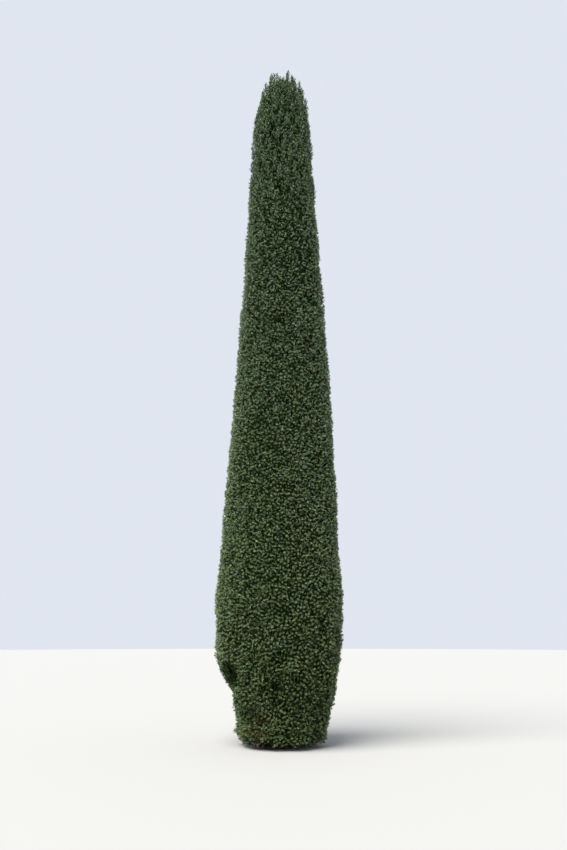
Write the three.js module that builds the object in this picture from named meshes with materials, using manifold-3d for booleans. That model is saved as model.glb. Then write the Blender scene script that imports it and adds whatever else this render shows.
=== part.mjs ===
// Irish yew: a tall, narrow, closely furnished column of dark upright sprays round one straight trunk.
// Millimetres, +Z up. The origin is the middle of the flat cut under the trunk, at ground level.
// The front of the tree faces -Y, and +X is to its right.
//
// The crown is six upright columns of foliage, each five masses tall. Every mass keeps to its own
// space: between two wavy upright seams, above one dipping floor and below the next. Its stem
// carries on from a bough's tip, or leaves the trunk, and its twigs leave the stem by the golden
// section and end in sprays that stand out of a smaller core.

import * as THREE from "three";
import { mergeVertices } from "three/addons/utils/BufferGeometryUtils.js";
import Module from "manifold-3d";

const wasm = await Module();
wasm.setup();

// The crown's outline: a foot that draws in towards the ground, a quick swell, a straight taper and a
// dome. The foot stands out FOOT_SIDE further on the right, and that much less on the left. The
// crown's middle leans evenly, and bows most halfway up.
const TREE_HEIGHT = 11000;
const FOOT_RADIUS = 675;
const FOOT_SIDE = 75;
const FOOT_HEIGHT = 500;
const FOOT_TAPER = 0.12;
const SWELL_POWER = 3;
const WIDEST_RADIUS = 928;
const WIDEST_Z = 2000;
const SHOULDER_RADIUS = 495;
const SHOULDER_Z = 9400;
const LEAN = { right: 60, back: 20 };
const BOW = 40;

// The columns of foliage, anticlockwise from +X, and the seams between them
const COLUMNS = ["right", "back_right", "back_left", "left", "front_left", "front_right"];
const COLUMN_ANGLE = (2 * Math.PI) / COLUMNS.length;
const SEAM_WAVE = 0.045;
const SEAM_WAVE_LENGTH = 5800;
const SEAM_WAVE_SHIFT = 2.1;
const SEAM_ROOM = 10;
const GROUND_GAP = 30;

// The masses of a column, from the ground up. Where two meet, the boundary is `ceiling` high at the
// crown's surface, more or less by up to `stagger` in turn round the tree, and `dip` lower at the
// trunk. No column's share of the stagger is under STAGGER_LEAST.
const STAGGER_LEAST = 0.55;
const TIERS = [
  { name: "foot", ceiling: 960, stagger: 120, dip: 290, sprays: 6, sprayLength: 330 },
  { name: "lower", ceiling: 3750, stagger: 260, dip: 420, sprays: 16, sprayLength: 540, bough: 56 },
  { name: "middle", ceiling: 6350, stagger: 260, dip: 420, sprays: 15, sprayLength: 500, bough: 46 },
  { name: "upper", ceiling: 8700, stagger: 260, dip: 420, sprays: 12, sprayLength: 450, bough: 36 },
  { name: "top", ceiling: TREE_HEIGHT, sprays: 8, sprayLength: 390 },
];
const FOOT_TIER = 0;
const TOP_TIER = TIERS.length - 1;

// The trunk
const TRUNK_HEIGHT = 10300;
const TRUNK_RADIUS = 165;
const TRUNK_TIP_RADIUS = 9;
const TRUNK_TAPER_POWER = 0.85;
const TRUNK_SIDES = 15;
const TRUNK_RINGS = 11;
const TRUNK_RING_POWER = 2.2;
const FLARE = 120;
const FLARE_HEIGHT = 170;
const FLARE_LOBES = 5;
const LOBE_DEPTH = 0.3;
const LOBE_TURN = 0.6;

// Boughs: each leaves the trunk at a slant, and ends BOUGH_RING of the crown's radius out, standing
// BOUGH_ENTRY inside its mass. A low bough starts LOW_START of the way up to its tip.
const BOUGH_RISE = 1150;
const LOW_START = 0.36;
const BOUGH_RING = 0.42;
const BOUGH_ENTRY = 60;
const BOUGH_BEND_RADIUS = 0.92;
const BOUGH_BEND_HEIGHT = 0.42;
const BOUGH_TAPER = 0.68;
const BOUGH_STEPS = 3;
const BOUGH_SAMPLES = 24;
const LIMB_SIDES = 6;
const SEAT_GAP = 0.3;
const LIMB_CLEARANCE = 22;

// Stems inside the masses, as shares of the crown's radius and of the stem's rise
const STEM_BEND = { radius: 0.52, rise: 0.4 };
const STEM_END = { radius: 0.62, rise: 0.8 };
const STEM_HEADROOM = 200;
const STEM_STEPS = 5;
const STEM_FIT = 0.94;
const STEM_TIP_RADIUS = 10;
const FOOT_STEM = { radius: 34, start: 210, across: 0.5 };
const TOP_STEM = { radius: 20, drop: 250 };
const TOP_STEM_END = TREE_HEIGHT - 500;
const TWIG_RADII = [9, 5.5];
const TWIG_SIDES = 3;
const TWIG_SPAN = [0.45, 0.95];

// Cores: the outline at one height, as shares of the way from the column's middle to its seams
const CORE_OUTER = [-0.985, -0.36, 0.36, 0.985];
const CORE_INNER = [0.84, 0, -0.84];
const CORE_ROWS = [0, 0.08, 0.5, 0.93, 1];
const CORE_FULLNESS = [0.9, 1, 1, 0.99, 0.86];
const CORE_INSET = 76;
const CORE_END_INSET = 26;
const FOOT_CORE_RISE = 40;
const TOP_CORE_DROP = 300;

// Sprays, as shares of their own length unless they are angles or millimetres
const SPRAY_OUTLINE = [[0, 0], [0.5, 0.7], [0.13, 0.5], [0, 1], [-0.13, 0.47], [-0.5, 0.82]];
const SPRAY_RIDGE = 0.4;
const SPRAY_THICKNESS = 0.09;
const SPRAY_WIDTHS = [0.52, 0.39, 0.26];
const SPRAY_LENGTHS = [0.82, 1.12];
const SPRAY_TILTS = [0.13, 0.24];
const SPRAY_TURN = 0.7;
const SPRAY_SWAY = 0.2;
const SPRAY_FAN = 0.12;
const SPRAY_SINK = 26;
const SPRAY_REACH = 0.92;
const SPRAY_ROOM = 30;
const SPRAY_HEADROOM = 12;
const LOW_SPRAYS = 0.14;
const LOW_TILT = 0.75;
const GOLDEN_SECTION = (Math.sqrt(5) - 1) / 2;

// The leading shoots at the tip of each column, from the middle outwards
const LEADER_RADII = [100, 215, 330];
const LEADER_DROPS = [60, 130, 130];
const LEADER_SPREAD = 0.6;
const LEADER_HEIGHT = 480;
const LEADER_RADIUS = 38;
const LEADER_WAIST = 0.55;
const LEADER_TAPER = 0.5;
const LEADER_TIP = 0.1;
const LEADER_SIDES = 4;
const LEADER_WHORLS = 2;
const LEADER_TURN = 0.5;

const SMALLEST_DETAIL = 0.1;
const SAME_POINT = 1e-4;

const lerp = THREE.MathUtils.lerp;
const clamp01 = (x) => THREE.MathUtils.clamp(x, 0, 1);
const fraction = (x) => x - Math.floor(x);
// A repeatable stand-in for chance: the same number always gives the same share from 0 to 1.
const chance = (n) => fraction(Math.sin(n * 12.9898 + 4.1414) * 43758.5453);
const between = ([low, high], share) => lerp(low, high, share);

// The crown's radius on one side, or midway between its left and right where no side is given.
function crownRadius(z, angle = Math.PI / 2) {
  if (z < WIDEST_Z) {
    const short = 1 - clamp01((z - FOOT_HEIGHT) / (WIDEST_Z - FOOT_HEIGHT));
    const drawn = 1 - FOOT_TAPER * clamp01(1 - z / FOOT_HEIGHT);
    const foot = drawn * (FOOT_RADIUS + FOOT_SIDE * Math.cos(angle));
    return lerp(WIDEST_RADIUS, foot, short ** SWELL_POWER);
  }
  if (z < SHOULDER_Z) {
    const up = (z - WIDEST_Z) / (SHOULDER_Z - WIDEST_Z);
    return lerp(WIDEST_RADIUS, SHOULDER_RADIUS, up);
  }
  const over = clamp01((z - SHOULDER_Z) / (TREE_HEIGHT - SHOULDER_Z));
  return SHOULDER_RADIUS * Math.sqrt(1 - over * over);
}

// The trunk's radius on one side, or over its widest lobe where no side is given.
function trunkRadius(z, angle = -LOBE_TURN / FLARE_LOBES) {
  const up = clamp01(z / TRUNK_HEIGHT) ** TRUNK_TAPER_POWER;
  const lobe = 1 + LOBE_DEPTH * Math.cos(FLARE_LOBES * angle + LOBE_TURN);
  return lerp(TRUNK_RADIUS, TRUNK_TIP_RADIUS, up) + FLARE * lobe * Math.exp(-z / FLARE_HEIGHT);
}

// The middle of the tree at a height.
function axisAt(z) {
  const up = z / TREE_HEIGHT;
  return new THREE.Vector3(LEAN.right * up + BOW * Math.sin(Math.PI * up) ** 2, LEAN.back * up, z);
}

function pointAt(radius, angle, z) {
  return axisAt(z).add(new THREE.Vector3(radius * Math.cos(angle), radius * Math.sin(angle), 0));
}

// The seam between a column and the one before it.
function seamAngle(seam, z) {
  const turn = seam % COLUMNS.length;
  const phase = (2 * Math.PI * z) / SEAM_WAVE_LENGTH + SEAM_WAVE_SHIFT * turn;
  return (seam - 0.5) * COLUMN_ANGLE + SEAM_WAVE * Math.sin(phase);
}

// A column's angle at a height, from -1 at one seam to 1 at the other.
function angleAcross(column, across, z) {
  return lerp(seamAngle(column, z), seamAngle(column + 1, z), (across + 1) / 2);
}

// The height at which a tier's masses start, at a distance from the middle of the tree.
function floorHeight(column, tier, radius) {
  if (tier === FOOT_TIER) return GROUND_GAP;
  const { ceiling, stagger, dip } = TIERS[tier - 1];
  if (tier > TOP_TIER) return ceiling;
  const side = column % 2 ? 1 : -1;
  const atSurface = ceiling + side * stagger * lerp(STAGGER_LEAST, 1, chance(column + 7 * tier));
  return atSurface - dip * (1 - clamp01(radius / crownRadius(atSurface)));
}

// Whether a point lies in a mass's own space, with some room to spare.
function inSpace(column, tier, point) {
  const middle = axisAt(point.z);
  const radius = Math.hypot(point.x - middle.x, point.y - middle.y);
  if (radius < trunkRadius(point.z) + LIMB_CLEARANCE) return false;
  if (point.z < floorHeight(column, tier, radius) + SEAM_ROOM) return false;
  if (point.z > floorHeight(column, tier + 1, radius) - SEAM_ROOM) return false;
  const first = seamAngle(column, point.z);
  const width = seamAngle(column + 1, point.z) - first;
  const bearing = Math.atan2(point.y - middle.y, point.x - middle.x);
  const past = THREE.MathUtils.euclideanModulo(bearing - first, 2 * Math.PI);
  return past < width && radius * Math.sin(Math.min(past, width - past)) > SEAM_ROOM;
}

// A closed solid through rings of points that run anticlockwise seen from the last ring.
function loft(rings) {
  const count = rings[0].length;
  const middleOf = (ring) =>
    ring.reduce((sum, p) => sum.add(p), new THREE.Vector3()).divideScalar(count);
  const points = [...rings.flat(), middleOf(rings[0]), middleOf(rings.at(-1))];
  const faces = [];
  const last = (rings.length - 1) * count;
  const foot = points.length - 2;
  const head = points.length - 1;
  for (let i = 0; i < count; i++) {
    const next = (i + 1) % count;
    faces.push(foot, next, i, head, last + i, last + next);
    for (let row = 0; row < last; row += count) {
      faces.push(row + i, row + next, row + count + next);
      faces.push(row + i, row + count + next, row + count + i);
    }
  }
  const geometry = new THREE.BufferGeometry().setFromPoints(points);
  geometry.setIndex(faces);
  return geometry;
}

// A limb along a curve that tapers from the first radius to the second.
function limb(curve, radii, steps, sides = LIMB_SIDES) {
  const frames = curve.computeFrenetFrames(steps);
  const rings = [];
  for (let step = 0; step <= steps; step++) {
    const share = step / steps;
    const centre = curve.getPointAt(share);
    const radius = between(radii, share);
    const ring = [];
    for (let i = 0; i < sides; i++) {
      const angle = (2 * Math.PI * i) / sides;
      const point = centre.clone();
      point.addScaledVector(frames.normals[step], radius * Math.cos(angle));
      point.addScaledVector(frames.binormals[step], radius * Math.sin(angle));
      ring.push(point);
    }
    rings.push(ring);
  }
  return loft(rings);
}

function solid(geometry) {
  const merged = mergeVertices(geometry, SAME_POINT);
  return new wasm.Manifold(
    new wasm.Mesh({
      numProp: 3,
      vertProperties: new Float32Array(merged.attributes.position.array),
      triVerts: new Uint32Array(merged.index.array),
    }),
  );
}

function geometryOf(manifold) {
  const { vertProperties, triVerts } = manifold.getMesh();
  const geometry = new THREE.BufferGeometry();
  geometry.setAttribute("position", new THREE.BufferAttribute(vertProperties, 3));
  geometry.setIndex(new THREE.BufferAttribute(triVerts, 1));
  geometry.computeVertexNormals();
  return geometry;
}

// Joins overlapping solids, cuts them clear of the trunk and keeps the main body without its scraps.
function fuse(solids) {
  const whole = wasm.Manifold.union(solids).simplify(SMALLEST_DETAIL).subtract(trunkClear);
  return whole.decompose().reduce((most, body) => (body.volume() > most.volume() ? body : most));
}

function trunkGeometry(clearance = 0) {
  const rings = [];
  for (let row = 0; row <= TRUNK_RINGS; row++) {
    // Rings lie closer together in the root flare.
    const z = TRUNK_HEIGHT * (row / TRUNK_RINGS) ** TRUNK_RING_POWER;
    const ring = [];
    for (let i = 0; i < TRUNK_SIDES; i++) {
      const angle = (2 * Math.PI * i) / TRUNK_SIDES;
      ring.push(pointAt(trunkRadius(z, angle) + clearance, angle, z));
    }
    rings.push(ring);
  }
  return loft(rings);
}

const trunkClear = solid(trunkGeometry(SEAT_GAP));
const trunkWide = solid(trunkGeometry(LIMB_CLEARANCE));

// Where a mass's stem begins beyond its bough, or would if it had one.
function seatOf(column, tier) {
  const radius = BOUGH_RING * crownRadius(floorHeight(column, tier, Infinity));
  const z = floorHeight(column, tier, radius) + BOUGH_ENTRY;
  return { radius, z, angle: angleAcross(column, 0, z) };
}

function boughCurve(column, tier, extra = 0) {
  const seat = seatOf(column, tier);
  const start = Math.max(seat.z - BOUGH_RISE, LOW_START * seat.z);
  const bend = lerp(start, seat.z, BOUGH_BEND_HEIGHT);
  return new THREE.QuadraticBezierCurve3(
    pointAt(0, seat.angle, start),
    pointAt(BOUGH_BEND_RADIUS * seat.radius, seat.angle, bend),
    pointAt(seat.radius, seat.angle, seat.z + extra),
  );
}

function boughSolid(column, tier, clearance = 0, extra = 0) {
  const radius = TIERS[tier].bough;
  const radii = [radius + clearance, BOUGH_TAPER * radius + clearance];
  return solid(limb(boughCurve(column, tier, extra), radii, BOUGH_STEPS)).subtract(trunkClear);
}

// How far out a column's bough reaches at a height: nothing above its tip.
function boughReach(column, tier, z) {
  const radius = TIERS[tier]?.bough;
  if (!radius || z > seatOf(column, tier).z + radius) return 0;
  const points = boughCurve(column, tier).getPoints(BOUGH_SAMPLES);
  const passed = points.filter((point) => point.z < z + radius);
  return Math.max(0, ...passed.map((point) => point.sub(axisAt(point.z)).length() + radius));
}

// A stem rises through its mass from a starting point.
function stemCurve(column, tier, start) {
  const ceiling = floorHeight(column, tier + 1, STEM_END.radius * crownRadius(start.z));
  const rise = Math.min(ceiling - STEM_HEADROOM, TOP_STEM_END) - start.z;
  const at = (place) => {
    const z = start.z + rise * place.rise;
    return pointAt(place.radius * crownRadius(z), angleAcross(column, 0, z), z);
  };
  return new THREE.QuadraticBezierCurve3(start, at(STEM_BEND), at(STEM_END));
}

// The stem carries on from its bough's tip, face to face across the seat gap. A foot or top mass
// has no bough, and its stem comes out of the trunk.
function stemOf(column, tier) {
  if (TIERS[tier].bough) {
    const bough = boughCurve(column, tier);
    const along = bough.getTangent(1);
    const start = bough.getPoint(1).addScaledVector(along, SEAT_GAP);
    const curve = stemCurve(column, tier, start);
    curve.v1 = start.clone().addScaledVector(along, STEM_BEND.rise * (curve.v2.z - start.z));
    return { curve, radius: STEM_FIT * BOUGH_TAPER * TIERS[tier].bough };
  }
  if (tier === FOOT_TIER) {
    const angle = angleAcross(column, FOOT_STEM.across, FOOT_STEM.start);
    const curve = stemCurve(column, tier, pointAt(0, angle, FOOT_STEM.start));
    return { curve, radius: FOOT_STEM.radius };
  }
  const seat = seatOf(column, tier);
  const curve = stemCurve(column, tier, pointAt(0, seat.angle, seat.z - TOP_STEM.drop));
  return { curve, radius: TOP_STEM.radius };
}

function coreGeometry(column, tier) {
  const low = CORE_END_INSET + (tier === FOOT_TIER ? FOOT_CORE_RISE : 0);
  const high = tier === TOP_TIER ? TOP_CORE_DROP : CORE_END_INSET;
  const rings = CORE_ROWS.map((share, row) => {
    const heightAt = (radius) => {
      const floor = floorHeight(column, tier, radius) + low;
      return lerp(floor, floorHeight(column, tier + 1, radius) - high, share);
    };
    const level = heightAt(STEM_END.radius * crownRadius(heightAt(0)));
    const limbs = Math.max(trunkRadius(level), boughReach(column, tier + 1, level));
    const inside = limbs + 2 * LIMB_CLEARANCE;
    const full = CORE_FULLNESS[row];
    const corner = (across, isOuter) => {
      const side = angleAcross(column, across * full, level);
      const outside = crownRadius(level, side) - CORE_INSET;
      const radius = lerp((outside + inside) / 2, isOuter ? outside : inside, full);
      const z = heightAt(radius);
      return pointAt(radius, angleAcross(column, across * full, z), z);
    };
    const outer = CORE_OUTER.map((across) => corner(across, true));
    return [...outer, ...CORE_INNER.map((across) => corner(across, false))];
  });
  return loft(rings);
}

function coreSolid(column, tier) {
  const core = solid(coreGeometry(column, tier)).subtract(trunkWide);
  if (!TIERS[tier].bough) return core;
  return core.subtract(boughSolid(column, tier, LIMB_CLEARANCE / 2, 2 * SEAT_GAP));
}

// A spray of needles: a blade of three upright teeth, ridged on both faces.
function sprayGeometry(root, along, facing, length, width) {
  const across = new THREE.Vector3().crossVectors(facing, along).normalize();
  const face = new THREE.Vector3().crossVectors(along, across).normalize();
  const put = (x, y, z) =>
    root.clone()
      .addScaledVector(across, x * width * length)
      .addScaledVector(face, y * length)
      .addScaledVector(along, z * length);
  const points = SPRAY_OUTLINE.map(([x, z]) => put(x, 0, z));
  points.push(put(0, SPRAY_THICKNESS / 2, SPRAY_RIDGE), put(0, -SPRAY_THICKNESS / 2, SPRAY_RIDGE));
  const count = SPRAY_OUTLINE.length;
  const faces = [];
  for (let i = 0; i < count; i++) {
    const next = (i + 1) % count;
    faces.push(count, next, i, count + 1, i, next);
  }
  const geometry = new THREE.BufferGeometry().setFromPoints(points);
  geometry.setIndex(faces);
  return { geometry, points };
}

// One spray of a mass. Its height goes with its number and its bearing by the golden section, and it
// leans out so that its tip comes to the crown's surface. The lowest sprays lean out most.
function placeSpray(column, tier, i) {
  const { sprays, sprayLength } = TIERS[tier];
  const seed = i + 100 * column + 1000 * tier;
  const up = (i + 0.5) / sprays;
  const across = 2 * SPRAY_REACH * (fraction((i + 3 * column) * GOLDEN_SECTION) - 0.5);
  const length = sprayLength * between(SPRAY_LENGTHS, chance(seed));
  const low = clamp01(1 - up / LOW_SPRAYS);
  const tilt = between(SPRAY_TILTS, chance(seed + 0.3)) + LOW_TILT * low;
  const rise = length * Math.cos(tilt);
  const floor = floorHeight(column, tier, Infinity) + SPRAY_ROOM;
  const tallest = tier === TOP_TIER ? TREE_HEIGHT - TOP_CORE_DROP : Infinity;
  const ceiling = Math.min(floorHeight(column, tier + 1, Infinity), tallest);
  const z = lerp(floor, ceiling - rise - SPRAY_HEADROOM, up);
  const angle = angleAcross(column, across, z);
  const outside = crownRadius(z + rise, angle) - length * Math.sin(tilt);
  const sunk = crownRadius(z, angle) - CORE_INSET - SPRAY_SINK;
  const root = pointAt(Math.min(outside, sunk), angle, z);
  const outward = new THREE.Vector3(Math.cos(angle), Math.sin(angle), 0);
  const sideways = new THREE.Vector3(-outward.y, outward.x, 0);
  const sway = SPRAY_SWAY * lerp(-1, 1, chance(seed + 0.6)) - SPRAY_FAN * across;
  const along = new THREE.Vector3(0, 0, Math.cos(tilt))
    .addScaledVector(outward, Math.sin(tilt))
    .addScaledVector(sideways, sway)
    .normalize();
  const turn = SPRAY_TURN * lerp(-1, 1, chance(seed + 0.9));
  const facing = outward.addScaledVector(sideways, turn);
  return { root, along, facing, length };
}

// The sprays that fit. One that would leave the mass's space is tried narrower, and then skipped.
function spraysOf(column, tier) {
  const made = [];
  for (let i = 0; i < TIERS[tier].sprays; i++) {
    const { root, along, facing, length } = placeSpray(column, tier, i);
    const fitting = SPRAY_WIDTHS
      .map((width) => sprayGeometry(root, along, facing, length, width))
      .find(({ points }) => points.slice(1).every((point) => inSpace(column, tier, point)));
    if (fitting) made.push({ root, solid: solid(fitting.geometry) });
  }
  return made;
}

// The height of the crown's rounded tip at a distance from the middle.
function domeHeight(radius) {
  const share = clamp01(radius / SHOULDER_RADIUS);
  return SHOULDER_Z + (TREE_HEIGHT - SHOULDER_Z) * Math.sqrt(1 - share * share);
}

// The tips of one column's leading shoots.
function leadersOf(column) {
  return LEADER_RADII.map((radius, i) => {
    const across = i ? lerp(-LEADER_SPREAD, LEADER_SPREAD, chance(column + 11 * i)) : 0;
    const height = domeHeight(radius) - LEADER_DROPS[i] * chance(column + 5 * i + 0.5);
    return pointAt(radius, angleAcross(column, across, height), height);
  });
}

// A leading shoot: a slim core with whorls of needles standing out of it.
function leaderSolid(tip) {
  const rows = 2 * LEADER_WHORLS;
  const rings = [];
  for (let row = 0; row <= rows; row++) {
    const share = row / rows;
    const taper = row === rows ? LEADER_TIP : 1 - LEADER_TAPER * share * share;
    const radius = LEADER_RADIUS * taper * (row % 2 ? 1 : LEADER_WAIST);
    const middle = tip.clone().setZ(tip.z - LEADER_HEIGHT * (1 - share));
    const ring = [];
    for (let i = 0; i < LEADER_SIDES; i++) {
      const angle = (2 * Math.PI * i) / LEADER_SIDES + LEADER_TURN * row;
      const out = new THREE.Vector3(radius * Math.cos(angle), radius * Math.sin(angle), 0);
      ring.push(out.add(middle));
    }
    rings.push(ring);
  }
  return solid(loft(rings));
}

// A twig from the stem to the root of its spray.
function twigSolid(stem, root, share) {
  const line = new THREE.LineCurve3(stem.getPointAt(between(TWIG_SPAN, share)), root);
  return solid(limb(line, TWIG_RADII, 1, TWIG_SIDES));
}

function massSolid(column, tier) {
  const { curve, radius } = stemOf(column, tier);
  const stem = solid(limb(curve, [radius, STEM_TIP_RADIUS], STEM_STEPS));
  const parts = [coreSolid(column, tier), stem];
  spraysOf(column, tier).forEach((spray, i, all) => {
    parts.push(twigSolid(curve, spray.root, i / all.length), spray.solid);
  });
  if (tier === TOP_TIER) parts.push(...leadersOf(column).map(leaderSolid));
  return fuse(parts);
}

const materials = {
  bark: new THREE.MeshStandardMaterial({ color: 0x5b4436, roughness: 0.9, metalness: 0 }),
  foliage: new THREE.MeshStandardMaterial({ color: 0x2b3a23, roughness: 0.75, metalness: 0 }),
};

function piece(name, geometry, material) {
  const mesh = new THREE.Mesh(geometry, material);
  mesh.name = name;
  return mesh;
}

const yew = new THREE.Group();
yew.name = "irish_yew";
yew.add(piece("trunk", trunkGeometry(), materials.bark));
TIERS.forEach(({ name, bough }, tier) => {
  COLUMNS.forEach((side, column) => {
    if (bough) {
      const limbGeometry = geometryOf(boughSolid(column, tier));
      yew.add(piece(`bough_${name}_${side}`, limbGeometry, materials.bark));
    }
    const massGeometry = geometryOf(massSolid(column, tier));
    yew.add(piece(`foliage_${name}_${side}`, massGeometry, materials.foliage));
  });
});

export default yew;
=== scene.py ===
"""Dresses the irish yew: bark with relief on its trunk and boughs, and real twigs and needles in
place of its solid masses of foliage. Metres, +Z up, the front of the tree faces -Y."""

import math
import random

import bpy
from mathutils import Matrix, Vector, noise


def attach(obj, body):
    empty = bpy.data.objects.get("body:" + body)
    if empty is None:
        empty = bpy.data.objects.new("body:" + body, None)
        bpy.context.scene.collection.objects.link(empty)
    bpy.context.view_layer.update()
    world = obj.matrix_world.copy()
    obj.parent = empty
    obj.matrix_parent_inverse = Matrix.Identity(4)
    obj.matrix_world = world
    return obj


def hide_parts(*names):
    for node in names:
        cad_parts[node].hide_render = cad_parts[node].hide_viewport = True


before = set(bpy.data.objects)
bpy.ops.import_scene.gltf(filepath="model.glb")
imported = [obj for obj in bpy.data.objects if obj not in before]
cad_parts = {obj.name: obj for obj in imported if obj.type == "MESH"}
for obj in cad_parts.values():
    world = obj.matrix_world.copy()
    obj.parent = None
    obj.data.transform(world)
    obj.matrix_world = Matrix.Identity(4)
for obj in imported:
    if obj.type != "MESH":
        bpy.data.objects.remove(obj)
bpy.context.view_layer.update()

# The crown's outline, as in the part's source: a foot that draws in towards the ground, a quick swell,
# a straight taper and a dome. The foot stands out FOOT_SIDE further on the right, and that much less
# on the left. The crown's middle leans evenly, and bows most halfway up.
TREE_HEIGHT = 11.0
FOOT_RADIUS = 0.675
FOOT_SIDE = 0.075
FOOT_HEIGHT = 0.5
FOOT_TAPER = 0.12
SWELL_POWER = 3
WIDEST_RADIUS = 0.928
WIDEST_Z = 2.0
SHOULDER_RADIUS = 0.495
SHOULDER_Z = 9.4
LEAN_RIGHT = 0.06
LEAN_BACK = 0.02
BOW = 0.04

# The crown's surface is uneven with lumps of three sizes. Each has its depth at the ground and from
# LUMP_LOW up, and all flatten where the crown's radius is under 1 / LUMP_FADE.
LUMP_LOW = 2.6
LUMP_FADE = 3
LUMPS = [
    {"wide": 0.24, "tall": 0.26, "depths": (0.055, 0.0)},
    {"wide": 0.3, "tall": 0.8, "depths": (0.03, 0.03)},
    {"wide": 0.12, "tall": 0.09, "depths": (0.05, 0.015)},
]

# Hollows and swellings, with bearings in degrees. They fade over their reach, the quicker the higher
# SPOT_FADE is. The first two hollows make the notch on the left.
HOLLOWS = [
    {"bearing": 171, "height": 0.74, "reach": 0.18, "depth": 0.12},
    {"bearing": 189, "height": 0.74, "reach": 0.18, "depth": 0.11},
    {"bearing": 196, "height": 0.93, "reach": 0.2, "depth": 0.06},
    {"bearing": 213, "height": 0.99, "reach": 0.2, "depth": 0.15},
    {"bearing": 268, "height": 0.84, "reach": 0.11, "depth": 0.09},
    {"bearing": 246, "height": 4.55, "reach": 0.2, "depth": 0.045},
]
SWELLINGS = [
    {"bearing": 184, "height": 1.24, "reach": 0.25, "rise": 0.05},
    {"bearing": 186, "height": 0.34, "reach": 0.24, "rise": 0.045},
]
SPOT_FADE = 2

# The columns of foliage, anticlockwise from +X, and the seams between them
COLUMNS = ["right", "back_right", "back_left", "left", "front_left", "front_right"]
COLUMN_ANGLE = 2 * math.pi / len(COLUMNS)
SEAM_WAVE = 0.045
SEAM_WAVE_LENGTH = 5.8
SEAM_WAVE_SHIFT = 2.1

# The masses of a column, from the ground up, with the twigs that each has here. Where two meet, the
# boundary is "ceiling" high at the crown's surface, more or less by up to "stagger" in turn round the
# tree, and "dip" lower at the trunk. No column's share of the stagger is under STAGGER_LEAST.
TIERS = [
    {"name": "foot", "ceiling": 0.96, "stagger": 0.12, "dip": 0.29, "twigs": 46},
    {"name": "lower", "ceiling": 3.75, "stagger": 0.26, "dip": 0.42, "twigs": 150, "bough": 0.056},
    {"name": "middle", "ceiling": 6.35, "stagger": 0.26, "dip": 0.42, "twigs": 114, "bough": 0.046},
    {"name": "upper", "ceiling": 8.7, "stagger": 0.26, "dip": 0.42, "twigs": 80, "bough": 0.036},
    {"name": "top", "ceiling": TREE_HEIGHT, "twigs": 58},
]
FOOT_TIER = 0
TOP_TIER = len(TIERS) - 1
STAGGER_LEAST = 0.55
GROUND_GAP = 0.03

# The trunk. Its rings are closer together near the ground, and what is under FLAT_CUT is cut flat.
TRUNK_HEIGHT = 10.3
TRUNK_RADIUS = 0.165
TRUNK_TIP_RADIUS = 0.009
TRUNK_TAPER_POWER = 0.85
TRUNK_SIDES = 72
TRUNK_RINGS = 260
TRUNK_RING_POWER = 1.4
FLAT_CUT = 0.003
FLARE = 0.12
FLARE_HEIGHT = 0.17
FLARE_LOBES = 5
LOBE_DEPTH = 0.3
LOBE_TURN = 0.6

# Boughs: each leaves the trunk at a slant, and ends BOUGH_RING of the crown's radius out, standing
# BOUGH_ENTRY inside its mass. A low bough starts LOW_START of the way up to its tip.
BOUGH_RISE = 1.15
LOW_START = 0.36
BOUGH_RING = 0.42
BOUGH_ENTRY = 0.06
BOUGH_BEND_RADIUS = 0.92
BOUGH_BEND_HEIGHT = 0.42
BOUGH_TAPER = 0.68
BOUGH_STEPS = 40
BOUGH_SIDES = 16

# Stems inside the masses. Their places are shares of the crown's radius and of the stem's rise.
STEM_BEND = (0.52, 0.4)
STEM_END = (0.62, 0.8)
STEM_HEADROOM = 0.2
STEM_TIP_RADIUS = 0.01
STEM_STEPS = 6
FOOT_STEM_RADIUS = 0.034
FOOT_STEM_START = 0.21
FOOT_STEM_ACROSS = 0.5
TOP_STEM_RADIUS = 0.02
TOP_STEM_DROP = 0.25
TOP_STEM_END = TREE_HEIGHT - 0.5

# Each column's twigs and spires start COLUMN_SHIFT golden steps after the last column's
GOLDEN_SECTION = (math.sqrt(5) - 1) / 2
GOLDEN_ANGLE = 2 * math.pi * GOLDEN_SECTION
COLUMN_SHIFT = 3

# What chance() works with, as in the part's source, and the steps and the shift that keep its draws
# for different things apart
CHANCE_STEP = 12.9898
CHANCE_START = 4.1414
CHANCE_SCALE = 43758.5453
STAGGER_STEP = 7
OUTER_ACROSS_STEP = 11
OUTER_DROP_STEP = 5
OUTER_DROP_SHIFT = 0.5

# Twigs leave their stem over TWIG_SPAN of its length, sag a little, and end below and behind the fan
# of shoots that they carry. That is FAN_INSET under the surface, but at most FAN_INSET_MOST of its
# radius, and FAN_DROP lower, but at most FAN_DROP_MOST of its height. The last two values are the
# least radius of a twig's end, and the least that a fan is bent round.
TWIG_SPAN = (0.3, 0.98)
TWIG_RADII = (0.009, 0.005)
TWIG_SIDES = 3
TWIG_SAG = 0.15
FAN_SHOOTS = 14
FAN_SPREAD = 0.11
FAN_STRETCH = 1.1
FAN_INSET = 0.13
FAN_INSET_MOST = 0.45
FAN_DROP = 0.14
FAN_DROP_MOST = 0.5
FAN_ROOT_RADIUS = 0.02
FAN_TURN_RADIUS = 0.1

# The lower edge of the crown is uneven
LOWEST_TIP = 0.03
SKIRT = 0.09
SKIRT_WAVES = 5
SKIRT_SHIFT = 0.3

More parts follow.
